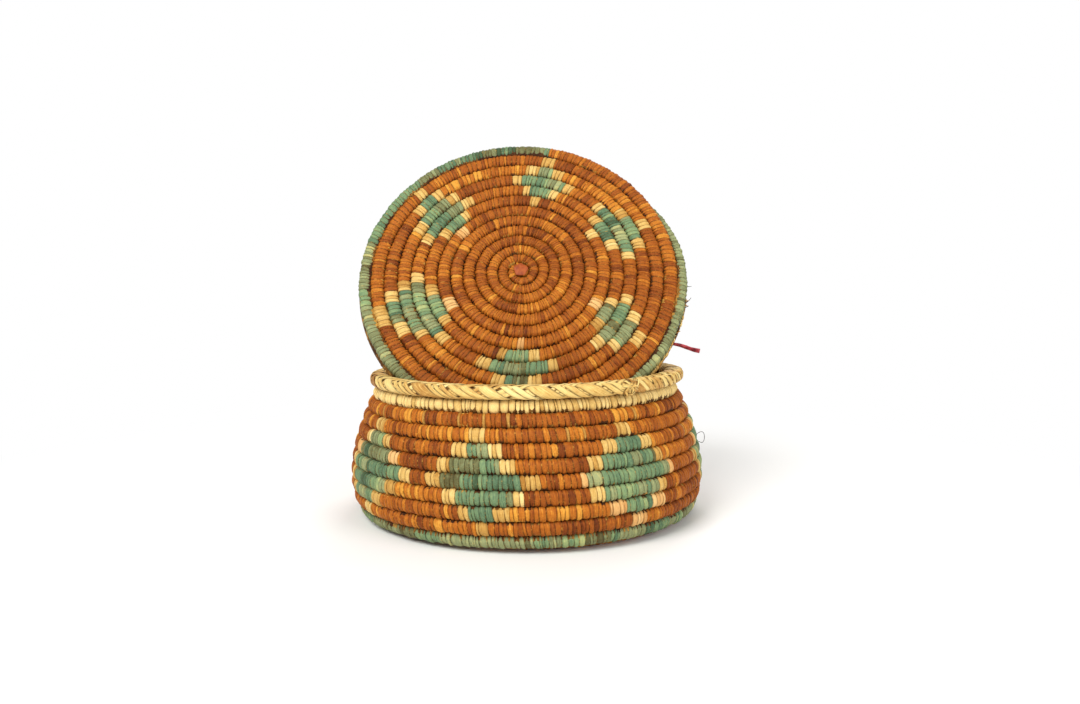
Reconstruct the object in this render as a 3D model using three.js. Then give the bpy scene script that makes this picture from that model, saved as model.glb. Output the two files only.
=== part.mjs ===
// A lidded basket of wound coil, in millimetres, +Z up, standing on z = 0 about the basket's own axis.
// Its base, wall and lid are long coils that wind round and round, each turn beside the one before.
// The lid is off: it leans in the mouth, its outside towards -Y, wedged between the two sides of the rim.
import * as THREE from 'three';

// Sizes of the basket. Radii of the wall run to the middle of the coil.
const rowPitch = 9.5;
const coilThickness = 8.8;
const rowGap = 0.55;
const buttGap = 0.4;
const footRadius = 117.6;
const footRounding = 6.5;
const footRowShare = 0.75;
const footCornerRoom = 1.2;
const bellyRadius = 123.6;
const bellyHeight = 31;
const neckRadius = 105.6;
const neckHeight = 89;
const shoulderFullness = 1.7;
const coilEyeRadius = 5;

// Sizes of the rim: strips braided over one more turn of coil.
const rimThickness = 14;
const rimHeight = 10;
const rimOverhang = 2.5;
const braidThickness = 1.6;
const braidClearance = 0.35;
const rimSeatGap = 0.3;
const rimRounding = 2.4;
const knotWidth = 14;
const knotHeight = 9;
const knotDepth = 3.2;

// Sizes of the lid. Its first turns are finer than its last ones.
const lidOverhang = 7.8;
const lidDomeHeight = 3.5;
const lidRowPitch = 10;
const lidFirstPitch = 6;
const lidPitchTurns = 4;
const lidEyeRadius = 2.8;
const lidEdgeWidth = 7.8;
const lidEndWidth = 6.2;
const lidCoilThickness = 9;
const patchRadius = 6.4;
const patchThickness = 1.6;
const patchRounding = 0.5;
const thongWidth = 2.6;
const thongThickness = 1.2;
const thongTail = 17;
const thongTuck = 15;
const thongKnotRadius = 2.8;

// How the lid leans in the mouth: its slant from upright, and how far forward and sideways it sits.
const lidLean = THREE.MathUtils.degToRad(30.8);
const lidWedgeForward = 49;
const lidSideways = -4.3;
const wedgeClearance = 0.5;

// Where things happen round the axis, in turns that run with the coil from +X through +Y.
const stepsPerTurn = 24;
const baseCoarseRadius = 60;
const lidCoarseRadius = 30;
const frontTurn = 18 / stepsPerTurn;
const baseDyeTurn = 4 / stepsPerTurn;
const neckDyeTurn = 4 / stepsPerTurn;
const coilEndTurn = 23 / stepsPerTurn;
const coilEndTaper = 7 / stepsPerTurn;
const coilEndLength = 5 / stepsPerTurn;
const knotTurn = 0.85;
const lidFirstTurn = 6 / stepsPerTurn;
const lidDyeTurn = 5 / stepsPerTurn;
const lidNarrowing = 4 / stepsPerTurn;
const lidEndNarrowing = 12 / stepsPerTurn;
const lidTuckStart = -1 / stepsPerTurn;
const lidTuckEnd = 4 / stepsPerTurn;
const lidSeatEnd = 22 / stepsPerTurn;
const lidTuckAngle = THREE.MathUtils.degToRad(76);
const lidTuckCornerRoom = 0.14;
const thongTurn = -27 / 360;
const thongSwing = THREE.MathUtils.degToRad(-17);

const rust = new THREE.MeshStandardMaterial({ color: '#b5602a', roughness: 0.75, metalness: 0 });
const green = new THREE.MeshStandardMaterial({ color: '#7fa182', roughness: 0.75, metalness: 0 });
const straw = new THREE.MeshStandardMaterial({ color: '#dcc07c', roughness: 0.7, metalness: 0 });
const leather = new THREE.MeshStandardMaterial({ color: '#b5603f', roughness: 0.5, metalness: 0 });
const redLeather = new THREE.MeshStandardMaterial({ color: '#9c3038', roughness: 0.55, metalness: 0 });

const basket = new THREE.Group();

function addPiece(parent, name, geometry, material) {
  const piece = new THREE.Mesh(geometry, material);
  piece.name = name;
  parent.add(piece);
  return piece;
}

// A closed skin over rings of points that all have the same count, in order along the piece.
// The rings close on themselves where loop is true, and otherwise the two ends are capped.
function skinOverRings(rings, loop) {
  const sides = rings[0].length;
  const corners = rings.flat();
  const triangles = [];
  const spans = loop ? rings.length : rings.length - 1;
  for (let i = 0; i < spans; i += 1) {
    const here = i * sides;
    const there = ((i + 1) % rings.length) * sides;
    for (let j = 0; j < sides; j += 1) {
      const k = (j + 1) % sides;
      triangles.push(here + j, there + j, here + k);
      triangles.push(here + k, there + j, there + k);
    }
  }
  if (!loop) {
    const last = (rings.length - 1) * sides;
    for (let j = 1; j < sides - 1; j += 1) {
      triangles.push(0, j, j + 1);
      triangles.push(last, last + j + 1, last + j);
    }
  }
  const geometry = new THREE.BufferGeometry().setFromPoints(corners);
  geometry.setIndex(triangles);
  geometry.computeVertexNormals();
  return geometry;
}

function pointRound(turn, radius, height) {
  const angle = turn * 2 * Math.PI;
  return new THREE.Vector3(radius * Math.cos(angle), radius * Math.sin(angle), height);
}

// The coil's six-sided section, its flat sides facing in and out and two corners facing its neighbours.
// It is pressed flat where it would reach below its lowest level.
const sectionCorners = [[-1, 0], [-0.5, -1], [0.5, -1], [1, 0], [0.5, 1], [-0.5, 1]];

function sectionRing(turn, section) {
  const across = section.along.clone().rotateAround(new THREE.Vector2(), Math.PI / 2);
  return sectionCorners.map(([a, b]) => {
    const spot = section.centre.clone();
    spot.addScaledVector(section.along, a * section.width / 2);
    spot.addScaledVector(across, b * section.thickness / 2);
    return pointRound(turn, spot.x, Math.max(spot.y, section.lowest));
  });
}

function sectionTop(section) {
  return Math.max(...sectionRing(0, section).map((corner) => corner.z));
}

// Rings of a coil from one turn to another, at whole steps, and at every other step inside the coarse radius.
// The last rings stand back by half the butt gap, so that two lengths of coil meet without touching.
function coilRings(fromTurn, toTurn, sectionAt, coarseRadius) {
  const rings = [];
  const last = Math.round(toTurn * stepsPerTurn);
  let step = Math.round(fromTurn * stepsPerTurn);
  while (step < last) {
    const turn = step / stepsPerTurn;
    const section = sectionAt(turn);
    rings.push(sectionRing(turn, section));
    step += section.centre.x < coarseRadius ? 2 : 1;
  }
  rings.push(sectionRing(last / stepsPerTurn, sectionAt(last / stepsPerTurn)));
  standBack(rings[0], rings[1]);
  standBack(rings[rings.length - 1], rings[rings.length - 2]);
  return rings;
}

function standBack(ring, next) {
  const share = buttGap / 2 / ring[0].distanceTo(next[0]);
  ring.forEach((corner, i) => corner.lerp(next[i], share));
}

// The least distance from a coil to its own next turn, measured from points along its edges to its faces.
function leastGapToItself(rings) {
  const samples = 3;
  const face = new THREE.Triangle();
  const nearest = new THREE.Vector3();
  const point = new THREE.Vector3();
  let least = Infinity;
  const turnOf = (ring) => Math.atan2(ring[0].y, ring[0].x) / (2 * Math.PI);
  const turns = [];
  rings.forEach((ring, i) => {
    const before = i === 0 ? turnOf(ring) : turns[i - 1];
    turns.push(before + THREE.MathUtils.euclideanModulo(turnOf(ring) - before, 1));
  });
  for (let i = 0; i < rings.length - 1; i += 1) {
    for (let j = i + 2; j < rings.length - 1; j += 1) {
      if (turns[j + 1] < turns[i] + 0.9 || turns[j] > turns[i + 1] + 1.1) continue;
      for (let side = 0; side < 6; side += 1) {
        const next = (side + 1) % 6;
        for (let corner = 0; corner < 6; corner += 1) {
          for (let k = 0; k <= samples; k += 1) {
            point.lerpVectors(rings[i][corner], rings[i + 1][corner], k / samples);
            face.set(rings[j][side], rings[j][next], rings[j + 1][side]);
            least = Math.min(least, face.closestPointToPoint(point, nearest).distanceTo(point));
            face.set(rings[j][next], rings[j + 1][next], rings[j + 1][side]);
            least = Math.min(least, face.closestPointToPoint(point, nearest).distanceTo(point));
          }
        }
      }
    }
  }
  return least;
}

function addCoil(parent, name, material, rings) {
  const gap = leastGapToItself(rings);
  if (gap < Infinity) console.log(`${name}: least gap to itself ${gap.toFixed(2)} mm`);
  return addPiece(parent, name, skinOverRings(rings, false), material);
}

// The middle line of base and wall, seen in a cut through the axis: x is the radius, y the height.
// It runs out along the base, rounds the foot and follows the belly and shoulder up past the neck.
const baseLevel = coilThickness / 2;

function wallRadius(height) {
  if (height < bellyHeight) {
    const below = (bellyHeight - height) / (bellyHeight - baseLevel);
    return bellyRadius - (bellyRadius - footRadius) * below ** 2;
  }
  const above = (height - bellyHeight) / (neckHeight - bellyHeight);
  return bellyRadius - (bellyRadius - neckRadius) * above ** shoulderFullness;
}

const wallSamples = 16;
const wallTop = neckHeight + 2 * rowPitch;
const wallFoot = new THREE.Vector2(footRadius, baseLevel);
const footSlope = new THREE.Vector2(wallRadius(baseLevel + footRounding) - footRadius, footRounding).normalize();
const footStart = new THREE.Vector2(footRadius - footRounding, baseLevel);
const footEnd = wallFoot.clone().addScaledVector(footSlope, footRounding);
const wallPoints = [footEnd];
for (let i = 1; i <= wallSamples; i += 1) {
  const height = THREE.MathUtils.lerp(footEnd.y, wallTop, i / wallSamples);
  wallPoints.push(new THREE.Vector2(wallRadius(height), height));
}
const middleLine = new THREE.CurvePath();
middleLine.add(new THREE.QuadraticBezierCurve(footStart, wallFoot, footEnd));
middleLine.add(new THREE.SplineCurve(wallPoints));
const flatLength = footStart.x;
const curvedLength = middleLine.getLength();

// The spot on the middle line at a length from the axis. The flat base simply runs on past the axis.
function middleSpot(length) {
  if (length <= flatLength) return new THREE.Vector2(length, baseLevel);
  return middleLine.getPoint(Math.min(1, (length - flatLength) / curvedLength));
}

// The length along the middle line at which the wall reaches a height.
function lengthAtHeight(height) {
  let low = flatLength;
  let high = flatLength + curvedLength;
  for (let i = 0; i < 40; i += 1) {
    const middle = (low + high) / 2;
    if (middleSpot(middle).y < height) low = middle;
    else high = middle;
  }
  return low;
}

// The rows: the coil passes the front most of the way round the foot, and again one row higher at every turn, up
// to the neck. The rows of the base stand back a little, because the row that rounds the foot cuts its corner.
const footLength = flatLength + footRowShare * middleLine.curves[0].getLength();
const neckLength = lengthAtHeight(neckHeight);
const wallRows = Math.round((neckLength - footLength) / rowPitch);
const rowStep = (neckLength - footLength) / wallRows;
const baseRows = (footLength - footCornerRoom - coilEyeRadius) / rowStep;
const firstBaseTurn = Math.ceil((frontTurn - baseRows) * stepsPerTurn / 2) * 2 / stepsPerTurn;
const neckStart = wallRows + neckDyeTurn;
const lastFullTurn = wallRows + coilEndTurn;

function rowLength(turn) {
  const back = footCornerRoom * THREE.MathUtils.smoothstep(-turn, -baseDyeTurn, 0);
  return footLength + (turn - frontTurn) * rowStep - back;
}

// The height that the rows leave for the coil. It shrinks after the last full turn, where the coil tapers out.
function roomForRow(turn) {
  const past = Math.max(0, turn - lastFullTurn) / coilEndTaper;
  return rowStep * (1 - past);
}

const slopeStep = rowPitch / 10;

function basketSection(turn) {
  const room = roomForRow(turn);
  const length = rowLength(turn) - (rowStep - room) / 2;
  const centre = middleSpot(length);
  const below = middleSpot(length + rowLength(turn - 1) - rowLength(turn)).distanceTo(centre);
  const above = middleSpot(length + rowLength(turn + 1) - rowLength(turn)).distanceTo(centre);
  const along = middleSpot(length + slopeStep).sub(middleSpot(length - slopeStep)).normalize();
  const width = Math.min(below, above, rowStep) - rowStep + room - rowGap;
  const thickness = coilThickness * room / rowStep;
  return { centre, along, width, thickness, lowest: 0 };
}

// Base, foot, wall and neck: one coil, cut where its wrapping changes colour.
function addBasketCoils(parent) {
  const cut = (fromTurn, toTurn) => coilRings(fromTurn, toTurn, basketSection, baseCoarseRadius);
  addCoil(parent, 'base_coil', rust, cut(firstBaseTurn, baseDyeTurn));
  addCoil(parent, 'base_edge_coil', green, cut(baseDyeTurn, 1 + baseDyeTurn));
  addCoil(parent, 'wall_coil', rust, cut(1 + baseDyeTurn, neckStart));
  addCoil(parent, 'neck_coil', straw, cut(neckStart, lastFullTurn + coilEndLength));
}

// The rim rides on the top of the topmost row: it climbs with it, and sinks back to the start past the coil's end.
const rimRadius = middleSpot(rowLength(lastFullTurn)).x + rimOverhang;
const mouthRadius = rimRadius - rimThickness / 2;
const rimShoulderDrop = 1.3 * rimRounding;
const rimSteps = 2 * stepsPerTurn;

function rimLevel(turn) {
  const past = THREE.MathUtils.euclideanModulo(turn - coilEndTurn, 1);
  const rise = past < coilEndTaper ? -past / coilEndTaper * (1 - coilEndTaper) : past - 1;
  return sectionTop(basketSection(lastFullTurn + rise)) + rimSeatGap + rimHeight / 2;
}

// The rim's closed outline round its middle: radius and height of each corner.
function ringAt(turn, outline) {
  const level = rimLevel(turn);
  return outline.map(([out, up]) => pointRound(turn, rimRadius + out, level + up));
}

function addRim(parent) {
  const half = rimThickness / 2;
  const top = rimHeight / 2;
  const leg = half - braidThickness;
  const roof = top - braidThickness;
  const braidOutline = [
    [leg, -top], [half, -top], [half, top - rimShoulderDrop], [half - rimRounding, top - 0.2 * rimRounding],
    [half - 1.8 * rimRounding, top], [1.8 * rimRounding - half, top], [rimRounding - half, top - 0.2 * rimRounding],
    [-half, top - rimShoulderDrop], [-half, -top], [-leg, -top],
    [-leg, roof - rimRounding], [rimRounding - leg, roof], [leg - rimRounding, roof], [leg, roof - rimRounding],
  ];
  const braidRings = [];
  for (let i = 0; i < rimSteps; i += 1) {
    braidRings.push(ringAt(i / rimSteps, braidOutline));
  }
  addPiece(parent, 'rim_braid', skinOverRings(braidRings, true), straw);

  const wide = leg - braidClearance;
  const high = roof - braidClearance;
  const coreOutline = [
    [-wide, -top], [wide, -top], [wide, high - rimRounding],
    [wide - rimRounding, high], [rimRounding - wide, high], [-wide, high - rimRounding],
  ];
  const coreRings = [];
  for (let i = 0; i <= rimSteps; i += 1) {
    coreRings.push(ringAt(knotTurnOnStep(rimSteps) + i / rimSteps, coreOutline));
  }
  standBack(coreRings[0], coreRings[1]);
  standBack(coreRings[rimSteps], coreRings[rimSteps - 1]);
  addPiece(parent, 'rim_core', skinOverRings(coreRings, false), straw);
}

function knotTurnOnStep(steps) {
  return Math.round(knotTurn * steps) / steps;
}

// The knot that ends the braid lies on the rim's outer face, flat on it and domed outwards.
function addRimKnot(parent) {
  const profile = [new THREE.Vector2(0, 0), new THREE.Vector2(1, 0)];
  const domeSteps = 4;
  for (let i = 1; i <= domeSteps; i += 1) {
    const angle = i / domeSteps * Math.PI / 2;
    profile.push(new THREE.Vector2(i === domeSteps ? 0 : Math.cos(angle), Math.sin(angle)));
  }
  const knot = addPiece(parent, 'rim_knot', new THREE.LatheGeometry(profile, 14), straw);
  knot.geometry.scale(knotWidth / 2, knotDepth, knotHeight / 2);
  knot.geometry.rotateZ(-Math.PI / 2);
  knot.geometry.rotateX(Math.PI / 2);
  const level = rimLevel(knotTurn) - rimRounding / 2;
  knot.position.copy(pointRound(knotTurn, rimRadius + rimThickness / 2 + rimSeatGap, level));
  knot.rotation.z = knotTurn * 2 * Math.PI;
}

// The lid, built lying flat with its outside up, about the middle of its edge.
// Its edge coil reaches past the braid by the overhang, so that the seat coil under it lies on the rim.
const lidRadius = mouthRadius + rimThickness + lidOverhang;
const lidEdgeRadius = lidRadius - (lidRowPitch - rowGap) / 2;
const lidSlack = (lidRowPitch - lidFirstPitch) * lidPitchTurns;
const lidTurns = Math.round((lidEdgeRadius + lidSlack - lidEyeRadius) / lidRowPitch);
const lidPitch = (lidEdgeRadius + lidSlack - lidEyeRadius) / lidTurns;

function lidSpiralRadius(turn) {
  return lidEyeRadius + lidPitch * turn - lidSlack * (1 - Math.exp(-turn / lidPitchTurns));
}

function lidSpiralSpot(turn) {
  const radius = lidSpiralRadius(turn);
  return new THREE.Vector2(radius, lidDomeHeight * (1 - (radius / lidEdgeRadius) ** 2));
}

function lidSlope(turn) {
  const radius = lidSpiralRadius(turn);
  return new THREE.Vector2(1, -2 * lidDomeHeight * radius / lidEdgeRadius ** 2).normalize();
}

// Past its dye change the lid's coil narrows to the edge. At the end of that turn it ducks under the turn
// inside it, and goes on beneath the edge as the coil that sits on the rim.
const greenStart = lidTurns - 1 + lidDyeTurn;
const greenEnd = lidTurns + lidTuckEnd;

function lidSection(turn) {
  const sideStep = lidSpiralRadius(turn) - lidSpiralRadius(turn - 1);
  const fullWidth = sideStep - rowGap;
  const fullThickness = Math.min(lidCoilThickness, 1.25 * fullWidth);
  const lowest = -Infinity;
  if (turn <= greenStart) {
    const centre = lidSpiralSpot(turn);
    return { centre, along: lidSlope(turn), width: fullWidth, thickness: fullThickness, lowest };
  }
  const inner = lidSection(turn - 1);
  const narrowed = Math.min(1, (turn - greenStart) / lidNarrowing);
  const ending = THREE.MathUtils.smoothstep(turn, lidTurns - lidEndNarrowing, lidTurns);
  const edgeWidth = THREE.MathUtils.lerp(lidEdgeWidth, lidEndWidth, ending);
  const width = THREE.MathUtils.lerp(fullWidth, edgeWidth, narrowed);
  const tucked = THREE.MathUtils.smoothstep(turn, lidTurns + lidTuckStart, greenEnd);
  const angle = lidTuckAngle * tucked;
  const beside = (inner.width + width) / 2 + rowGap;
  const beneath = (inner.thickness + lidCoilThickness) / 2 + rowGap;
  const cornerRoom = 1 + lidTuckCornerRoom * Math.sin(2 * angle);
  const reach = cornerRoom * THREE.MathUtils.lerp(beside, beneath, Math.sin(angle) ** 2);
  const towards = inner.along.clone().rotateAround(new THREE.Vector2(), -angle);
  const centre = inner.centre.clone().addScaledVector(towards, reach);
  return { centre, along: inner.along, width, thickness: lidCoilThickness, lowest };
}

const lidRings = (fromTurn, toTurn) => coilRings(fromTurn, toTurn, lidSection, lidCoarseRadius);
const lidCoilRings = lidRings(lidFirstTurn, greenStart);
const lidEdgeRings = lidRings(greenStart, greenEnd);

function addLidCoils(lid) {
  addCoil(lid, 'lid_coil', rust, lidCoilRings);
  addCoil(lid, 'lid_edge_coil', green, lidEdgeRings);
  addCoil(lid, 'lid_seat_coil', straw, lidRings(greenEnd, lidTurns + lidSeatEnd));
}

// The round leather patch over the start of the lid's coil. It lies on the highest corner below it.
function addPatch(lid) {
  const covered = lidCoilRings.flat().filter((corner) => Math.hypot(corner.x, corner.y) < patchRadius);
  const seat = Math.max(...covered.map((corner) => corner.z)) + rimSeatGap;
  const profile = [
    new THREE.Vector2(0, 0),
    new THREE.Vector2(patchRadius, 0),
    new THREE.Vector2(patchRadius, patchThickness - patchRounding),
    new THREE.Vector2(patchRadius - patchRounding, patchThickness),
    new THREE.Vector2(0, patchThickness),
  ];
  const patch = addPiece(lid, 'lid_centre_patch', new THREE.LatheGeometry(profile, 20), leather);
  patch.geometry.rotateX(Math.PI / 2);
  patch.position.z = seat;
}

// The end of a leather thong: a knot inside the lid, and the strip from it out under the edge.
function addThong(lid) {
  const edge = lidSection(lidTurns + thongTurn);
  const under = edge.centre.y - lidCoilThickness / 2 - rimSeatGap - thongThickness;
  const start = pointRound(thongTurn, lidRadius - thongTuck, under);
  const thong = new THREE.Group();
  thong.position.copy(start);
  thong.rotation.z = thongSwing;
  lid.add(thong);
  const strip = new THREE.BoxGeometry(thongTuck + thongTail, thongWidth, thongThickness, 6, 1, 1);
  strip.translate((thongTuck + thongTail) / 2, 0, 0);
  strip.deleteAttribute('normal');
  addPiece(thong, 'lid_thong', strip, redLeather);
  const drop = thongKnotRadius - thongThickness / 2;
  const reach = Math.sqrt(thongKnotRadius ** 2 - (drop - thongThickness / 2) ** 2);
  const knot = new THREE.SphereGeometry(thongKnotRadius, 12, 8);
  knot.translate(-reach - rimSeatGap, 0, -drop);
  addPiece(thong, 'lid_thong_knot', knot, redLeather);
  return thong;
}

// How far a point of the lid's edge stays clear of the rim's inside, which opens out above its shoulder.
function roomInsideRim(point) {
  const turn = Math.atan2(point.y, point.x) / (2 * Math.PI);
  const level = rimLevel(turn);
  if (Math.abs(point.z - level) > rimHeight / 2) return Infinity;
  const overShoulder = Math.max(0, point.z - level - rimHeight / 2 + rimShoulderDrop);
  const insideFace = mouthRadius * Math.cos(Math.PI / rimSteps) + overShoulder / 2;
  return insideFace - Math.hypot(point.x, point.y);
}

// The lid's place in the mouth. It sinks in until its edge comes up against the rim on one side.
function placeLid(lid) {
  const samples = 8;
  const edge = [];
  for (let i = 1; i < lidEdgeRings.length; i += 1) {
    for (let k = 0; k < samples; k += 1) {
      lidEdgeRings[i].forEach((corner, c) => edge.push(corner.clone().lerp(lidEdgeRings[i - 1][c], k / samples)));
    }
  }
  lid.rotation.x = Math.PI / 2 - lidLean;
  lid.position.x = lidSideways;
  let low = rimLevel(frontTurn);
  let high = low + 2 * lidRadius;
  for (let i = 0; i < 24; i += 1) {
    const height = (low + high) / 2;
    const above = height - rimLevel(frontTurn);
    lid.position.z = height;
    lid.position.y = above * Math.tan(lidLean) - lidWedgeForward;
    lid.updateMatrix();
    const room = edge.reduce((least, corner) => {
      return Math.min(least, roomInsideRim(corner.clone().applyMatrix4(lid.matrix)));
    }, Infinity);
    if (room < wedgeClearance) low = height;
    else high = height;
  }
}

addBasketCoils(basket);
addRim(basket);
addRimKnot(basket);

const lid = new THREE.Group();
addLidCoils(lid);
addPatch(lid);
addThong(lid);
placeLid(lid);
basket.add(lid);

export default basket;
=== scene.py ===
"""A lidded coiled basket, its lid leaning in the mouth. Lengths are in metres, places round the axis in turns.

Each coil is a long tube of wrapped stitches on the same path as its solid. They are laid one by one along it,
and change colour where a motif of the pattern begins or ends.
"""

import math
from dataclasses import dataclass

import bmesh
import bpy
import numpy as np
from mathutils import Matrix, Vector


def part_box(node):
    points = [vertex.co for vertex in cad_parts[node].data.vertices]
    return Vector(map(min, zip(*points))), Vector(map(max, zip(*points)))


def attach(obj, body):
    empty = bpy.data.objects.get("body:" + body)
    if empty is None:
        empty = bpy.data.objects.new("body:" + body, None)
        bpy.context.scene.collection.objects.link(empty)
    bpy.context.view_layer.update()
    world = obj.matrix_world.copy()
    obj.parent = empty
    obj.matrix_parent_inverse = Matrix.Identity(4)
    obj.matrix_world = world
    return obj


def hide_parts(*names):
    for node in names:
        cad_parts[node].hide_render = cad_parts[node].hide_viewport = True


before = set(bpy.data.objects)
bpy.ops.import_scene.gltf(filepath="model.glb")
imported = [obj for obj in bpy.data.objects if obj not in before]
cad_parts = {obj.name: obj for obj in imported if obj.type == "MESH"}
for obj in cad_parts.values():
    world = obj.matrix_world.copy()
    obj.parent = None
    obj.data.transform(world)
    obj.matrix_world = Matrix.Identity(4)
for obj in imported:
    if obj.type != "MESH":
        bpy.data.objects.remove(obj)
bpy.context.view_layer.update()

MM = 0.001

# The basket's driving sizes, as the solids have them.
ROW_PITCH = 9.5 * MM
COIL_THICKNESS = 8.8 * MM
ROW_GAP = 0.55 * MM
FOOT_RADIUS = 117.6 * MM
FOOT_ROUNDING = 6.5 * MM
FOOT_ROW_SHARE = 0.75
FOOT_CORNER_ROOM = 1.2 * MM
BELLY_RADIUS = 123.6 * MM
BELLY_HEIGHT = 31 * MM
NECK_RADIUS = 105.6 * MM
NECK_HEIGHT = 89 * MM
SHOULDER_FULLNESS = 1.7
COIL_EYE_RADIUS = 5 * MM
RIM_THICKNESS = 14 * MM
RIM_HEIGHT = 10 * MM
RIM_OVERHANG = 2.5 * MM
RIM_SEAT_GAP = 0.3 * MM

# The lid's driving sizes.
LID_OVERHANG = 7.8 * MM
LID_DOME_HEIGHT = 3.5 * MM
LID_ROW_PITCH = 10 * MM
LID_FIRST_PITCH = 6 * MM
LID_PITCH_TURNS = 4
LID_EYE_RADIUS = 2.8 * MM
LID_EYE_FULLNESS = 1.25
LID_EDGE_WIDTH = 7.8 * MM
LID_END_WIDTH = 6.2 * MM
LID_COIL_THICKNESS = 9 * MM
LID_LEAN = math.radians(30.8)
PATCH_RADIUS = 6.4 * MM
PATCH_THICKNESS = 1.6 * MM
PATCH_LEVEL = 7.36 * MM
THONG_WIDTH = 2.6 * MM
THONG_THICKNESS = 1.2 * MM
THONG_TAIL = 17 * MM
THONG_TUCK = 15 * MM
THONG_KNOT_RADIUS = 2.8 * MM

# Where things happen round the axis, in turns.
STEP = 1 / 24
FRONT_TURN = 18 * STEP
DYE_TURN = 4 * STEP
COIL_END_TURN = 23 * STEP
COIL_END_TAPER = 7 * STEP
COIL_END_LENGTH = 5 * STEP
KNOT_TURN = 0.85
LID_FIRST_TURN = 6 * STEP
LID_DYE_TURN = 5 * STEP
LID_NARROWING = 4 * STEP
LID_END_NARROWING = 12 * STEP
LID_TUCK_START = -1 * STEP
LID_TUCK_END = 4 * STEP
LID_TUCK_ANGLE = math.radians(76)
LID_TUCK_CORNER_ROOM = 0.14
THONG_TURN = -27 / 360
THONG_SWING = math.radians(-17)


# Camera: it stands in front of the basket and is aimed a little down.
PICTURE_WIDTH = 1080
FOCAL_PIXELS = 883
CAMERA_PLACE = Vector((9.5, -648, 170.5)) * MM
CAMERA_DIP = math.radians(5)

camera_data = bpy.data.cameras.new("camera")
camera = bpy.data.objects.new("camera", camera_data)
bpy.context.scene.collection.objects.link(camera)
camera_data.sensor_width = 36
camera_data.lens = FOCAL_PIXELS / PICTURE_WIDTH * camera_data.sensor_width
camera_data.clip_start = 0.01
camera_data.clip_end = 20
camera.location = CAMERA_PLACE
camera.rotation_euler = (math.pi / 2 - CAMERA_DIP, 0, 0)
bpy.context.scene.camera = camera


# Geometry that several parts use.
def smooth_step(x, low, high):
    x = np.clip((x - low) / (high - low), 0, 1)
    return x * x * (3 - 2 * x)


def unit(vectors):
    return vectors / np.linalg.norm(vectors, axis=-1, keepdims=True)


def lengths_along(points):
    """How far along a chain of points each of them lies."""
    return np.concatenate([[0], np.cumsum(np.linalg.norm(np.diff(points, axis=0), axis=1))])


def round_axis(radius, angle, level):
    """Places in space, from their distance from the axis, their angle and their level."""
    return np.stack(np.broadcast_arrays(radius * np.cos(angle), radius * np.sin(angle), level), -1)


def placed(points, place):
    turning = np.array(place)
    return points @ turning[:3, :3].T + turning[:3, 3]


def squared_off(values, squareness):
    """The cosine or sine of a circle as that of an outline with squarer corners."""
    return np.sign(values) * np.abs(values) ** (2 / squareness)


# Paths. The middle line of base and wall, in a cut through the axis, is a fine chain of points.
BASE_LEVEL = COIL_THICKNESS / 2
FOOT_POINTS = 40
WALL_POINTS = 400


def wall_radius(height):
    if height < BELLY_HEIGHT:
        below = (BELLY_HEIGHT - height) / (BELLY_HEIGHT - BASE_LEVEL)
        return BELLY_RADIUS - (BELLY_RADIUS - FOOT_RADIUS) * below**2
    above = (height - BELLY_HEIGHT) / (NECK_HEIGHT - BELLY_HEIGHT)
    return BELLY_RADIUS - (BELLY_RADIUS - NECK_RADIUS) * above**SHOULDER_FULLNESS


def middle_line():
    """Each point of the line, and its distance along the line from the axis."""
    foot = np.array([FOOT_RADIUS, BASE_LEVEL])
    rise = np.array([wall_radius(BASE_LEVEL + FOOT_ROUNDING) - FOOT_RADIUS, FOOT_ROUNDING])
    start = foot - [FOOT_ROUNDING, 0]
    end = foot + FOOT_ROUNDING * unit(rise)
    points = [np.array([0.0, BASE_LEVEL])]
    for t in np.linspace(0, 1, FOOT_POINTS):
        points.append((1 - t) ** 2 * start + 2 * t * (1 - t) * foot + t**2 * end)
    for height in np.linspace(end[1], NECK_HEIGHT + 2 * ROW_PITCH, WALL_POINTS)[1:]:
        points.append(np.array([wall_radius(height), height]))
    return lengths_along(points), np.array(points)


LINE_LENGTH, LINE_POINTS = middle_line()


def middle_spot(length):
    return np.array([np.interp(length, LINE_LENGTH, LINE_POINTS[:, i]) for i in range(2)])


def length_at(radius, height):
    gaps = np.linalg.norm(LINE_POINTS - [radius, height], axis=1)
    return LINE_LENGTH[np.argmin(gaps)]


FLAT_LENGTH = FOOT_RADIUS - FOOT_ROUNDING
FOOT_CURVE = length_at(*LINE_POINTS[FOOT_POINTS]) - FLAT_LENGTH
FOOT_LENGTH = FLAT_LENGTH + FOOT_ROW_SHARE * FOOT_CURVE
NECK_LENGTH = length_at(wall_radius(NECK_HEIGHT), NECK_HEIGHT)
WALL_ROWS = round((NECK_LENGTH - FOOT_LENGTH) / ROW_PITCH)
ROW_STEP = (NECK_LENGTH - FOOT_LENGTH) / WALL_ROWS
BASE_ROWS = (FOOT_LENGTH - FOOT_CORNER_ROOM - COIL_EYE_RADIUS) / ROW_STEP
FIRST_BASE_TURN = math.ceil((FRONT_TURN - BASE_ROWS) / STEP / 2) * 2 * STEP
NECK_START = WALL_ROWS + DYE_TURN
LAST_FULL_TURN = WALL_ROWS + COIL_END_TURN


def row_length(turn):
    """Length along the middle line where a turn lies. The base's rows stand back a little from the foot."""
    back = FOOT_CORNER_ROOM * smooth_step(-turn, -DYE_TURN, 0)
    return FOOT_LENGTH + (turn - FRONT_TURN) * ROW_STEP - back


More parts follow.
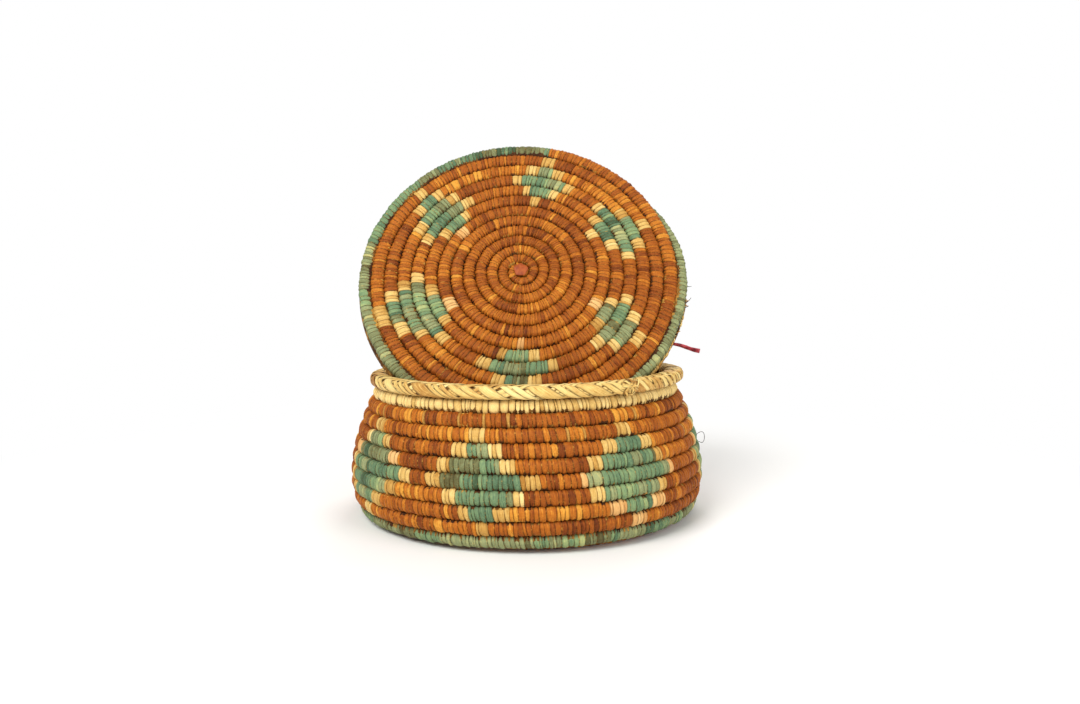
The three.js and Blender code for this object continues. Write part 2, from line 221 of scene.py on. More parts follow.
def basket_section(turn):
    """Centre, direction to the next row, outward direction, width and thickness of the basket's coil."""
    past = max(0.0, turn - LAST_FULL_TURN) / COIL_END_TAPER
    room = ROW_STEP * (1 - past)
    length = row_length(turn) - (ROW_STEP - room) / 2
    centre = middle_spot(length)
    beside = [middle_spot(length + row_length(turn + side) - row_length(turn)) for side in (-1, 1)]
    width = min(*np.linalg.norm(beside - centre, axis=1), ROW_STEP) - ROW_STEP + room
    along = unit(middle_spot(length + MM) - middle_spot(length - MM))
    out = np.array([along[1], -along[0]])
    return centre, along, out, width, COIL_THICKNESS * room / ROW_STEP


# The lid's coil, flat about the middle of its edge, with its outside up.
RIM_RADIUS = middle_spot(row_length(LAST_FULL_TURN))[0] + RIM_OVERHANG
MOUTH_RADIUS = RIM_RADIUS - RIM_THICKNESS / 2
LID_RADIUS = MOUTH_RADIUS + RIM_THICKNESS + LID_OVERHANG
LID_EDGE_RADIUS = LID_RADIUS - (LID_ROW_PITCH - ROW_GAP) / 2
LID_SLACK = (LID_ROW_PITCH - LID_FIRST_PITCH) * LID_PITCH_TURNS
LID_TURNS = round((LID_EDGE_RADIUS + LID_SLACK - LID_EYE_RADIUS) / LID_ROW_PITCH)
LID_PITCH = (LID_EDGE_RADIUS + LID_SLACK - LID_EYE_RADIUS) / LID_TURNS
GREEN_START = LID_TURNS - 1 + LID_DYE_TURN
GREEN_END = LID_TURNS + LID_TUCK_END


def lid_radius_at(turn):
    return LID_EYE_RADIUS + LID_PITCH * turn - LID_SLACK * (1 - math.exp(-turn / LID_PITCH_TURNS))


def turned(direction, angle):
    c, s = math.cos(angle), math.sin(angle)
    return np.array([c * direction[0] - s * direction[1], s * direction[0] + c * direction[1]])


def lid_section(turn):
    """As for the basket's coil. From the green turn on, a turn lies beside the one inside it, and then ducks
    under."""
    radius = lid_radius_at(turn)
    step = radius - lid_radius_at(turn - 1)
    if turn <= GREEN_START:
        thickness = min(LID_COIL_THICKNESS, LID_EYE_FULLNESS * (step - ROW_GAP))
        centre = np.array([radius, LID_DOME_HEIGHT * (1 - (radius / LID_EDGE_RADIUS) ** 2)])
        along = unit(np.array([1.0, -2 * LID_DOME_HEIGHT * radius / LID_EDGE_RADIUS**2]))
        return centre, along, turned(along, math.pi / 2), step, thickness
    inner_centre, inner_along, inner_out, inner_width, inner_thickness = lid_section(turn - 1)
    narrowed = min(1.0, (turn - GREEN_START) / LID_NARROWING)
    ending = smooth_step(turn, LID_TURNS - LID_END_NARROWING, LID_TURNS)
    edge_width = LID_EDGE_WIDTH + (LID_END_WIDTH - LID_EDGE_WIDTH) * ending + ROW_GAP
    width = step + (edge_width - step) * narrowed
    angle = LID_TUCK_ANGLE * smooth_step(turn, LID_TURNS + LID_TUCK_START, GREEN_END)
    beside = (inner_width + width) / 2
    beneath = (inner_thickness + LID_COIL_THICKNESS) / 2 + ROW_GAP
    corner_room = 1 + LID_TUCK_CORNER_ROOM * math.sin(2 * angle)
    reach = corner_room * (beside + (beneath - beside) * math.sin(angle) ** 2)
    centre = inner_centre + reach * turned(inner_along, -angle)
    return centre, inner_along, inner_out, width, LID_COIL_THICKNESS


# The lid's place: its patch lies this high over the middle of its edge, square to the lid's lean.
patch_low, patch_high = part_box("lid_centre_patch")
LID_TURNING = Matrix.Rotation(math.pi / 2 - LID_LEAN, 4, "X")
LID_MIDDLE = (patch_low + patch_high) / 2 - LID_TURNING @ Vector((0, 0, PATCH_LEVEL + PATCH_THICKNESS / 2))
LID_PLACE = Matrix.Translation(LID_MIDDLE) @ LID_TURNING
UPRIGHT = Matrix.Identity(4)


# The pattern. A motif is a stepped diamond, given row by row, each row as the angles in degrees at which its
# straw starts, its green starts, its green ends and its straw ends. A row with two angles is all straw.
# Rows count from the rim down on the wall, and from the lid's eye outwards on the lid.
RUST, GREEN, STRAW, PINK, OLIVE = range(5)

WALL_MOTIF_TOP_ROW = 3
WALL_MOTIFS = [
    [(212, 218), (208, 211, 219.5, 223.5), (199, 205, 224.5, 229), (196.5, 201.5, 230.5, 235),
     (197.5, 202, 224.5, 229.5), (199, 203, 217, 222), (210, 215)],
    [(253, 258), (248, 253, 259.5, 263.5), (244, 248, 263, 267.5), (240.5, 245.5, 269, 274.5),
     (246.5, 250.5, 267, 270), (251.5, 254.5, 261.5, 266), (256.5, 260)],
    [(299.5, 304.5), (293.5, 298.5, 307.5, 312), (288.5, 293, 312.5, 315.5), (286, 288, 318, 320),
     (288.5, 293, 312.5, 316), (294.5, 300, 309.5, 315), (302.5, 308)],
]
PLAIN_WALL_MOTIF = [(-3, 2), (-8, -3.5, 4, 8), (-12, -8, 8.5, 12.5), (-16, -12.5, 12.5, 16.5),
                    (-12, -8, 8, 12), (-8, -4, 4, 8), (-2.5, 2.5)]
PLAIN_WALL_MIDDLES = [352, 397, 442, 487, 531]
WALL_PINK_SHARE = 0.33

LID_MOTIFS = [
    {11: (22, 27), 10: (13, 18.5, 31.5, 36.5), 9: (7.5, 12, 42, 46.5), 8: (15, 22.3, 36, 42), 7: (27.5, 35)},
    {11: (75.5, 81), 10: (69.5, 75, 81.5, 88), 9: (61.8, 66.8, 90, 95), 8: (67.8, 72.7, 85, 89),
     7: (77.5, 84)},
    {11: (135.5, 140.2), 10: (130.8, 135.3, 142.6, 147.4), 9: (125.9, 132.2, 149.7, 156.7),
     8: (120, 127.4, 155, 161.4), 7: (128.5, 133.3, 146.7, 153.3), 6: (138, 147.7)},
    {11: (195.5, 205), 10: (189.8, 195.3, 205.9, 212.4), 9: (185.3, 190.7, 214.4, 217.8),
     8: (181, 187.2, 221.3, 227.8), 7: (190, 197.8, 213.9, 220), 6: (203.3, 213.3)},
    {10: (265.5, 270), 9: (257.4, 263.3, 273.7, 280), 8: (247.8, 254.7, 284.4, 289.4),
     7: (256.9, 261.7, 275.2, 281.4), 6: (268.3, 272.8)},
    {10: (323.5, 330), 9: (315.9, 320, 332.5, 337.8), 8: (310.3, 316.7, 340, 345.9),
     7: (318.5, 325.2, 336.7, 341.1), 6: (329.4, 337)},
]
LID_PINK_ROW = 6

# The lid's green turn, in degrees: where its green begins, and where it is olive, darker or paler.
LID_GREEN_SEEN_FROM = 79
LID_OLIVE = [(196, 240), (300, 400)]
LID_EDGE_SHADES = [(79, 112, -0.3), (112, 168, -0.12), (178, 200, 0.16), (300, 345, 0.08)]


def edge_turn(degrees):
    return LID_TURNS - 1 + degrees / 360


def wall_dyes():
    """Spans of coil, in turns, that the motifs of the wall dye. A share of their straw is pinker."""
    random = np.random.default_rng(41)
    motifs = list(WALL_MOTIFS)
    for middle in PLAIN_WALL_MIDDLES:
        motifs.append([tuple(middle + edge for edge in row) for row in PLAIN_WALL_MOTIF])
    spans = []
    for motif in motifs:
        for i, edges in enumerate(motif):
            row_turn = WALL_ROWS + 1 - (WALL_MOTIF_TOP_ROW + i)
            pale = PINK if random.random() < WALL_PINK_SHARE else STRAW
            spans += dyed_row([row_turn + edge / 360 for edge in edges], pale)
    return spans


def lid_dyes():
    """Spans of the lid's coil. Its innermost straw is pinker, and its first green stitches are still rust."""
    spans = [(GREEN_START, edge_turn(LID_GREEN_SEEN_FROM), RUST)]
    spans += [(edge_turn(start), edge_turn(stop), OLIVE) for start, stop in LID_OLIVE]
    for motif in LID_MOTIFS:
        for row, edges in motif.items():
            spans += dyed_row([row + edge / 360 for edge in edges], PINK if row == LID_PINK_ROW else STRAW)
    return spans


def dyed_row(edges, pale):
    if len(edges) == 2:
        return [(edges[0], edges[1], pale)]
    return [(edges[0], edges[1], pale), (edges[1], edges[2], GREEN), (edges[2], edges[3], pale)]


# Materials.
def linear(red, green, blue):
    """A colour written as it looks on a screen, from 0 to 255, as the shader reads it."""
    parts = [value / 255 for value in (red, green, blue)]
    return tuple(p / 12.92 if p <= 0.04045 else ((p + 0.055) / 1.055) ** 2.4 for p in parts) + (1.0,)


WHITE = (1, 1, 1, 1)


class Nodes:
    """The nodes of a material or of the world, with a short call for each kind."""

    def __init__(self, owner):
        owner.use_nodes = True
        self.tree = owner.node_tree
        self.tree.nodes.clear()

    def add(self, kind, inputs=None, **settings):
        """A node with its settings and inputs. An input is a value, or another node's output."""
        node = self.tree.nodes.new("ShaderNode" + kind)
        for key, value in settings.items():
            setattr(node, key, value)
        for key, value in (inputs or {}).items():
            if isinstance(value, bpy.types.NodeSocket):
                self.tree.links.new(value, node.inputs[key])
            else:
                node.inputs[key].default_value = value
        return node

    def maths(self, operation, a, b, clamp=False):
        return self.add("Math", {0: a, 1: b}, operation=operation, use_clamp=clamp).outputs[0]

    def plus(self, a, b, clamp=False):
        return self.maths("ADD", a, b, clamp)

    def minus(self, a, b, clamp=False):
        return self.maths("SUBTRACT", a, b, clamp)

    def times(self, a, b, clamp=False):
        return self.maths("MULTIPLY", a, b, clamp)

    def centred(self, factor, strength):
        """A factor from 0 to 1 as a change of tone, up and down from the middle."""
        return self.times(self.minus(factor, 0.5), strength)

    def above(self, factor, threshold, steepness):
        return self.times(self.minus(factor, threshold), steepness, True)

    def attribute(self, name, output="Fac"):
        return self.add("Attribute", attribute_name=name).outputs[output]

    def place(self):
        return self.add("TexCoord").outputs["Object"]

    def camera_ray(self):
        return self.add("LightPath").outputs["Is Camera Ray"]

    def noise(self, vector, scale, detail, rough):
        mapped = self.add("Mapping", {"Vector": vector, "Scale": scale}).outputs[0]
        inputs = {"Vector": mapped, "Scale": 1.0, "Detail": detail, "Roughness": rough}
        return self.add("TexNoise", inputs).outputs[0]

    def ramp(self, factor, stops):
        """Colours along a factor, each stop as its place, red, green and blue."""
        ramp = self.add("ValToRGB", {0: factor})
        elements = ramp.color_ramp.elements
        while len(elements) < len(stops):
            elements.new(0.5)
        for element, (place, *colour) in zip(elements, stops):
            element.position = place
            element.color = linear(*colour)
        return ramp.outputs[0]

    def mixed(self, factor, a, b):
        return self.add("Mix", {0: factor, 6: a, 7: b}, data_type="RGBA").outputs[2]

    def mixed_shader(self, factor, a, b):
        return self.add("MixShader", {0: factor, 1: a, 2: b}).outputs[0]

    def surface(self, colour, rough, sheen, height=None, strength=0.0, distance=0.0):
        """A shader with its finish, and with a bump where a height is given."""
        inputs = {"Base Color": colour, "Roughness": rough, "Specular IOR Level": sheen}
        if height is not None:
            bump = self.add("Bump", {"Strength": strength, "Distance": distance, "Height": height})
            inputs["Normal"] = bump.outputs[0]
        return self.add("BsdfPrincipled", inputs).outputs[0]

    def finish(self, shader, output="OutputMaterial"):
        self.add(output, {0: shader})


SPLINT_SHEEN = 0.16
# Gap colours: painted shade for the grooves between stitches and the crevices between rows.
BROWN_GAP_SHADE = linear(52, 20, 3)
GREEN_GAP_SHADE = linear(44, 42, 18)
STRAW_GAP_SHADE = linear(104, 64, 20)
GRASS = linear(214, 160, 66)
STRAW_FLECK = linear(190, 130, 50)


def splint_material(name, stops, gap_shade_colour, fleck_colour, roughness=0.6):
    """Flat splint wrapped round a coil. The mesh holds each stitch's tone, how deep a point lies between
    stitches and between rows, and its place along and round the coil in millimetres. Grooves between stitches
    and crevices between rows are darkened with painted shade."""
    material = bpy.data.materials.new(name)
    nodes = Nodes(material)
    weave = nodes.attribute("weave", "Vector")
    crevice = nodes.attribute("crevice")

    fibres = nodes.noise(weave, (1.5, 0.08, 1.0), 4.0, 0.7)
    hairs = nodes.noise(weave, (4.5, 0.14, 1.0), 2.0, 0.6)
    blotches = nodes.noise(weave, (0.28, 0.24, 1.0), 3.0, 0.6)
    toned = nodes.plus(nodes.attribute("tone"), nodes.centred(blotches, 0.55))
    toned = nodes.plus(toned, nodes.centred(fibres, 1.3))
    toned = nodes.plus(toned, nodes.centred(hairs, 0.7), True)
    colour = nodes.ramp(toned, stops)

    # Here and there the grass of the bundle shows pale between two stitches, and a stitch has a dark crack.
    grass = nodes.above(nodes.noise(weave, (0.5, 0.3, 1.0), 2.0, 0.5), 0.53, 9.0)
    grass = nodes.times(grass, nodes.minus(1.0, crevice, True))
    gap = nodes.mixed(nodes.times(grass, 0.75), gap_shade_colour, fleck_colour)
    cracks = nodes.above(nodes.noise(weave, (2.6, 0.1, 1.0), 2.0, 0.5), 0.62, 7.0)
    colour = nodes.mixed(nodes.times(cracks, 0.45), colour, gap_shade_colour)
    # Painted shade: the grooves between stitches take the dark gap colour, paler where grass shows, and the
    # crevices between rows take it still more.
    uneven = nodes.plus(nodes.times(blotches, 0.5), 0.75)
    colour = nodes.mixed(nodes.times(nodes.attribute("groove"), uneven, True), colour, gap)
    row_crevice_shade = nodes.times(nodes.maths("POWER", crevice, 2.2), 0.95, True)
    colour = nodes.mixed(row_crevice_shade, colour, gap_shade_colour)

    height = nodes.plus(nodes.times(fibres, 0.7), nodes.times(hairs, 0.5))
    rough = nodes.plus(nodes.times(fibres, 0.25), roughness - 0.12, True)
    nodes.finish(nodes.surface(colour, rough, SPLINT_SHEEN, height, strength=0.7, distance=0.3 * MM))
    return material


rust_splint = splint_material("rust_splint", [
    (0.0, 92, 40, 8), (0.25, 134, 65, 15), (0.5, 163, 87, 22), (0.75, 192, 112, 29), (1.0, 222, 156, 58),
], BROWN_GAP_SHADE, GRASS)
green_splint = splint_material("green_splint", [
    (0.0, 62, 80, 52), (0.25, 88, 116, 86), (0.5, 114, 138, 98), (0.75, 138, 160, 108), (1.0, 180, 184, 120),
], GREEN_GAP_SHADE, GRASS)
straw_splint = splint_material("straw_splint", [
    (0.0, 166, 114, 44), (0.3, 196, 148, 72), (0.6, 217, 178, 101), (1.0, 242, 212, 140),
], STRAW_GAP_SHADE, STRAW_FLECK, 0.55)
pink_splint = splint_material("pink_splint", [
    (0.0, 188, 128, 68), (0.5, 220, 166, 100), (1.0, 240, 198, 132),
], STRAW_GAP_SHADE, STRAW_FLECK, 0.55)
olive_splint = splint_material("olive_splint", [
    (0.0, 86, 78, 44), (0.25, 110, 110, 70), (0.5, 130, 136, 94), (0.75, 152, 160, 112), (1.0, 194, 184, 116),
], GREEN_GAP_SHADE, GRASS)
rim_splint = splint_material("rim_splint", [
    (0.0, 146, 94, 38), (0.3, 192, 141, 70), (0.6, 225, 189, 110), (1.0, 246, 220, 147),
], linear(64, 34, 8), linear(170, 112, 44), 0.52)
# The bundles' dark tones are painted shade where they show between stitches and strips. Only the top of each
# ramp is the grass's own colour. dark_bundle also colours the thin loose fibres.
dark_bundle = splint_material("dark_bundle", [
    (0.0, 40, 20, 8), (0.5, 74, 40, 14), (0.62, 128, 84, 30), (1.0, 206, 156, 70),
], linear(36, 18, 8), linear(80, 48, 16), 0.7)
straw_bundle = splint_material("straw_bundle", [
    (0.0, 62, 36, 12), (0.5, 98, 62, 24), (1.0, 184, 136, 66),
], linear(48, 28, 10), linear(80, 48, 16), 0.7)


# Meshes.
def new_object(name, vertices, polygons, materials):
    mesh = bpy.data.meshes.new(name)
    mesh.from_pydata(vertices, [], polygons)
    for material in materials:
        mesh.materials.append(material)
    mesh.polygons.foreach_set("use_smooth", np.ones(len(mesh.polygons), bool))
    mesh.update()
    obj = bpy.data.objects.new(name, mesh)
    bpy.context.scene.collection.objects.link(obj)
    return obj


def dress(obj, body, node=None):
    """Which body a piece rides on, and which solid it stands for."""
    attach(obj, body)
    if node:
        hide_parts(node)


def set_numbers(mesh, name, kind, domain, values):
    field = "vector" if kind == "FLOAT_VECTOR" else "value"
    attribute = mesh.attributes.new(name, kind, domain)
    attribute.data.foreach_set(field, np.asarray(values, np.float32).ravel())


def set_splint(mesh, tone, groove, crevice, weave):
    """What the splint material reads: a tone for each face, and the rest for each vertex."""
    set_numbers(mesh, "tone", "FLOAT", "FACE", tone)
    set_numbers(mesh, "groove", "FLOAT", "POINT", groove)
    set_numbers(mesh, "crevice", "FLOAT", "POINT", crevice)
    set_numbers(mesh, "weave", "FLOAT_VECTOR", "POINT", weave)


def ring_quads(rings, sides, flipped=False, joined=False):
    """The faces between rings of vertices, or the same facing the other way. Where joined, the last ring meets
    the first."""
    ring, side = np.meshgrid(np.arange(rings if joined else rings - 1), np.arange(sides), indexing="ij")
    following = (ring + 1) % rings
    after = (side + 1) % sides
    corners = [ring * sides + side, following * sides + side, following * sides + after, ring * sides + after]
    if flipped:
        corners = [corners[0], corners[3], corners[2], corners[1]]
    return np.stack(corners, -1).reshape(-1, 4)


class CoilPath:
    """A coil from one turn to another, sampled finely, that can be read at any length along it."""

    samples_per_turn = 240

    def __init__(self, section, from_turn, to_turn):
        count = max(8, math.ceil((to_turn - from_turn) * self.samples_per_turn))
        self.turns = np.linspace(from_turn, to_turn, count)
        self.columns = np.array([np.hstack(section(turn)) for turn in self.turns]).T
        self.lengths = lengths_along(round_axis(self.columns[0], 2 * np.pi * self.turns, self.columns[1]))
        self.length = self.lengths[-1]

    def turn_at(self, length):
        return np.interp(length, self.lengths, self.turns)

    def length_at(self, turn):
        return np.interp(turn, self.turns, self.lengths)

    def read(self, length):
        """For each length: the middle, the along, out and forward vectors in space, width and thickness."""
        turn = self.turn_at(length)
        columns = [np.interp(turn, self.turns, column) for column in self.columns]
        angle = 2 * np.pi * turn
        middle, along, out = (round_axis(columns[i], angle, columns[i + 1]) for i in (0, 2, 4))
        return middle, along, out, round_axis(1.0, angle + np.pi / 2, 0.0), columns[6], columns[7]


# Wrapping. A stitch is a few rings of the tube: each one's share of its width, how far it lies down the
# groove, and how far its tips are cut.
STITCH_SHAPE = ((0.0, 1.0, 1.0), (0.12, 0.2, 0.5), (0.5, 0.0, 0.0), (0.88, 0.2, 0.5))
BUNDLE_SHAPE = ((0.0, 0.0, 0.0),)

LEAST_STITCH = 0.3
OLIVE_SHARE = 0.36
SLIVER_WIDTH = 0.66
SLIVER_TONE = 0.15
LEAN_DRIFT = 0.5 * MM
LEAN_DRIFT_STITCHES = 9
LEAN_JITTER = 0.2 * MM
SKEW = 0.06 * MM
SKEW_SPREAD = 0.16 * MM
NOTCH = 0.7
LEAST_HALF = 0.2 * MM
END_CLOSING = 0.05
MAP_OVERLAP = 8 * MM
MAP_LEAD = 1 * MM
MAP_END_LENGTH = 0.4 * MM
MAP_MARGIN = 0.04


@dataclass
class Looks:
    """How a length of coil is wrapped."""
    mean_width: float = 3.2 * MM
    spread: float = 0.3
    groove_depth: float = 0.62 * MM
    lean: float = -0.5 * MM
    sides: int = 18
    overlap: float = 0.7 * MM
    contrast: float = 1.0
    squareness: float = 2.4
    shape: tuple = STITCH_SHAPE
    proud: float = 0.2 * MM
    ragged: float = 0.24 * MM
    tip_cut: float = 0.8 * MM
    slim: float = 1.0
    rise: float = 0.0
    shift: float = 0.0
    shades: tuple = ()
    olive_share: float = OLIVE_SHARE
    sliver_share: float = 0.0
    materials: tuple = (rust_splint, green_splint, straw_splint, pink_splint, olive_splint)


def lay_stitches(path, spans, base_dye, looks, random):
    """The edges of the stitches along the path, and each one's dye. No stitch crosses the edge of a span."""
    edges = [0.0]
    dyes = []

    def fill(until, dye):
        room = until - edges[-1]
        if room < LEAST_STITCH * looks.mean_width:
            return
        count = max(1, round(room / looks.mean_width))
        widths = np.exp(random.normal(0, looks.spread, count))
        for stop in edges[-1] + room * np.cumsum(widths) / widths.sum():
            edges.append(float(stop))
            dyes.append(dye)

    first, last = path.turns[0], path.turns[-1]
    for start, stop, dye in sorted(spans):
        if stop <= first or start >= last:
            continue
        fill(path.length_at(max(start, first)), base_dye)
        fill(path.length_at(min(stop, last)), dye)
    fill(path.length, base_dye)
    edges[-1] = path.length
    return np.array(edges), np.array(dyes)


def with_olive(dyes, random, share):
    """The green of some lengths of splint took the dye differently."""
    dyes = dyes.copy()
    i = 0
    while i < len(dyes):
        run = int(random.integers(1, 7))
        if random.random() < share:
            part = dyes[i:i + run]
            part[part == GREEN] = OLIVE
        i += run
    return dyes


def tones_of(dyes, random, contrast):
    """Each stitch's tone. Stitches share one for as long as a length of splint lasts, with small differences,
    and single stitches are much darker or paler."""
    tones = np.zeros(len(dyes))
    left = 0
    base = 0.5
    for i in range(len(dyes)):
        if left == 0 or dyes[i] != dyes[i - 1]:
            left = int(random.integers(3, 22))
            base = 0.5 + random.normal(0, 0.11)
        left -= 1
        tones[i] = base + random.normal(0, 0.1)
        chance = random.random()
        if chance < 0.07:
            tones[i] -= 0.26
        elif chance > 0.95:
            tones[i] += 0.3
    return np.clip(0.5 + contrast * (tones - 0.5), 0.02, 0.98)


class Wrapping:
    """The stitches laid along a path: each one's edges, dye and tone, and how it lies."""

    def __init__(self, path, spans, base_dye, seed, looks):
        random = np.random.default_rng(seed)
        self.edges, dyes = lay_stitches(path, spans, base_dye, looks, random)
        self.widths = np.diff(self.edges)
        self.count = len(dyes)
        self.dyes = with_olive(dyes, random, looks.olive_share)
        narrow = (self.dyes == RUST) & (self.widths < SLIVER_WIDTH * looks.mean_width)
        slivers = narrow & (random.random(self.count) < looks.sliver_share)
        self.dyes[slivers] = STRAW
        self.tones = tones_of(self.dyes, random, looks.contrast)
        self.tones[slivers] = SLIVER_TONE
        turns = path.turn_at(self.edges[:-1])
        for from_turn, to_turn, change in looks.shades:
            self.tones[(turns >= from_turn) & (turns < to_turn)] += change

        crown = random.normal(0, looks.proud, self.count)
        self.crown = np.clip(crown, -1.4 * looks.proud, 2 * looks.proud)
        self.skew = random.normal(SKEW, SKEW_SPREAD, self.count)
        self.ragged_up = random.normal(0, looks.ragged, self.count)
        self.ragged_down = random.normal(0, looks.ragged, self.count)
        drift = random.normal(0, LEAN_DRIFT, self.count + LEAN_DRIFT_STITCHES)
        drift = np.convolve(drift, np.ones(LEAN_DRIFT_STITCHES) / LEAN_DRIFT_STITCHES, "same")
        self.leans = looks.lean + drift[:self.count + 1] + random.normal(0, LEAN_JITTER, self.count + 1)
        self.depth = looks.groove_depth * random.uniform(0.45, 1.4, self.count + 1)

    def rings(self, looks):
        """Each ring's length along the path, relief, share of a groove, lean and cut, and then its stitch."""
        rings = []
        for share, sunk, tips in looks.shape:
            edge_depth = self.depth[:-1] * (1 - share) + self.depth[1:] * share
            raised = (self.crown + self.skew * (2 * share - 1)) * (1 - sunk)
            rings.append([
                self.edges[:-1] + share * self.widths,
                raised - edge_depth * sunk,
                np.full(self.count, sunk if share == 0 else 0.25 * sunk),
                self.leans[:-1] * (1 - share) + self.leans[1:] * share,
                np.full(self.count, tips * looks.tip_cut),
            ])
        columns = np.stack(rings, 2).reshape(5, -1)
        last = [self.edges[-1], -self.depth[-1], 1.0, self.leans[-1], columns[4, 0]]
        stitch = np.repeat(np.arange(self.count), len(looks.shape))
        return [*np.column_stack([columns, last]), np.append(stitch, self.count - 1)]


def padded(values):
    """With the first and the last once more, for the small rings that close a coil's ends."""
    return np.concatenate([values[:1], values, values[-1:]])


def coil_object(name, path, spans, base_dye, seed, place, looks):
    """A tube of stitches along a path."""
    wrapping = Wrapping(path, spans, base_dye, seed, looks)
    rings_at, relief, groove, lean_at, cut, stitch_of = wrapping.rings(looks)
    middle, along, out, forward, width, thickness = path.read(rings_at)
    size = (thickness / thickness.max())[:, None]
    middle = middle + size**3 * (looks.rise * out + looks.shift * along)

    angle = 2 * np.pi * np.arange(looks.sides) / looks.sides
    side_share = squared_off(np.sin(angle), looks.squareness)
    out_share = squared_off(np.cos(angle), looks.squareness)
    notched = 1 - NOTCH * side_share
    raised = relief[:, None] * notched[None, :]
    ragged = np.where(side_share[None, :] > 0, wrapping.ragged_up[stitch_of][:, None],
                      wrapping.ragged_down[stitch_of][:, None])
    half_width = (width / 2 + looks.overlap / 2 - cut)[:, None] + 0.4 * raised + ragged
    half_width = np.maximum(half_width * (1 - 0.1 * (1 - looks.slim)), LEAST_HALF)
    half_thick = np.maximum(looks.slim * (thickness / 2)[:, None] + raised, LEAST_HALF)
    points = middle[:, None, :] + (half_width * side_share)[:, :, None] * along[:, None, :]
    points += (half_thick * out_share)[:, :, None] * out[:, None, :]
    points += (lean_at[:, None] * side_share)[:, :, None] * forward[:, None, :]
    first_end = middle[0] + END_CLOSING * (points[0] - middle[0])
    last_end = middle[-1] + END_CLOSING * (points[-1] - middle[-1])
    points = np.concatenate([first_end[None], points, last_end[None]])
    rings_at, groove, stitch_of = padded(rings_at), padded(groove), padded(stitch_of)

    quads = ring_quads(len(points), looks.sides)
    obj = new_object(name, placed(points.reshape(-1, 3), place), quads.tolist(), looks.materials)
    mesh = obj.data
    faces = np.repeat(stitch_of[:-1], looks.sides)
    mesh.polygons.foreach_set("material_index", wrapping.dyes[faces].astype(np.int32))
    girth = 2.7 * (thickness.mean() + width.mean())
    weave = np.zeros((len(points), looks.sides, 3))
    weave[:, :, 0] = rings_at[:, None] / MM
    weave[:, :, 1] = (girth / MM * np.arange(looks.sides) / looks.sides)[None, :]
    weave[:, :, 2] = seed
    # The groove and crevice masks mark where the material paints shade between stitches and between rows.
    set_splint(mesh, wrapping.tones[faces], np.clip(groove[:, None] * (0.35 + 0.65 * notched), 0, 1),
               (0.72 + 0.28 * groove)[:, None] * (np.abs(side_share) ** 4)[None, :], weave)
    lay_map(mesh, rings_at, wrapping.edges, stitch_of, looks.sides, path.length, girth)
    return obj


def lay_map(mesh, rings_at, edges, stitch_of, sides, length, girth):
    """A map for baking: the coil cut into equal lengths, laid side by side in a square."""
    strips = max(1, math.ceil(math.sqrt(length / girth)))
    strip_length = length / strips + MAP_OVERLAP
    strip_of = np.minimum((edges[:-1] * strips / length).astype(int), strips - 1)
    strip = strip_of[stitch_of[:-1]]
    start = strip * length / strips - MAP_LEAD
    u0 = (rings_at[:-1] - start) / strip_length
    u1 = (rings_at[1:] - start) / strip_length
    u0[0] -= MAP_END_LENGTH / strip_length
    u1[-1] += MAP_END_LENGTH / strip_length
    v = MAP_MARGIN + (1 - 2 * MAP_MARGIN) * np.arange(sides + 1) / sides
    uv = np.zeros((len(strip), sides, 4, 2))
    uv[:, :, 0, 0] = uv[:, :, 3, 0] = u0[:, None]
    uv[:, :, 1, 0] = uv[:, :, 2, 0] = u1[:, None]
    uv[:, :, 0, 1] = uv[:, :, 1, 1] = (strip[:, None] + v[None, :-1]) / strips
    uv[:, :, 2, 1] = uv[:, :, 3, 1] = (strip[:, None] + v[None, 1:]) / strips
    layer = mesh.uv_layers.new(name="OFBake")
    layer.uv.foreach_set("vector", uv.astype(np.float32).ravel())


COILS = {"basket": (basket_section, wall_dyes, UPRIGHT), "lid": (lid_section, lid_dyes, LID_PLACE)}


def add_coil(body, node, slot, from_turn, to_turn, base_dye, seed, name=None, section=None,
             bundle=dark_bundle, bundle_overlap=1.0 * MM, bundle_rise=0.0, bundle_shift=0.0, **looks):
    """The stitches of a length of coil, and inside them its bundle of grass, which closes the seams. The
    bundle's dark colour is painted shade where it shows between the stitches.
    """
    name = name or node
    own_section, dyes, place = COILS[body]
    path = CoilPath(section or own_section, from_turn, to_turn)
    inside = Looks(mean_width=5 * MM, spread=0.0, lean=0.0, sides=8, overlap=bundle_overlap, proud=0.0,
                   ragged=0.0, tip_cut=0.0, slim=0.84, rise=bundle_rise, shift=bundle_shift,
                   shape=BUNDLE_SHAPE, materials=(bundle,))
    stitched = coil_object(f"{name}_stitched", path, dyes(), base_dye, seed, place, Looks(**looks))
    filled = coil_object(f"{name}_bundle", path, [], RUST, seed, place, inside)
    for obj in (stitched, filled):
        dress(obj, body, node)


# Coils of the basket. Its base and the lid start bent into their eye, before the first turn of their solids.
BASE_EYE_START = 0.5
LID_EYE_START = 0.75
LOWER_WALL_END = 5 + DYE_TURN

add_coil("basket", "base_coil", "coil_rust", FIRST_BASE_TURN - BASE_EYE_START, DYE_TURN, RUST, 11,
         mean_width=3.6 * MM, sides=12, bundle_overlap=3.0 * MM)
add_coil("basket", "base_edge_coil", "coil_green", DYE_TURN, 1 + DYE_TURN, GREEN, 12,
         mean_width=3.0 * MM, spread=0.4, groove_depth=0.8 * MM, tip_cut=1.1 * MM, olive_share=0.6)
add_coil("basket", "wall_coil", "coil_rust", 1 + DYE_TURN, LOWER_WALL_END, RUST, 13, "wall_coil_lower",
         sliver_share=0.16)
add_coil("basket", "wall_coil", "coil_rust", LOWER_WALL_END, NECK_START, RUST, 14, "wall_coil_upper",
         sliver_share=0.28)
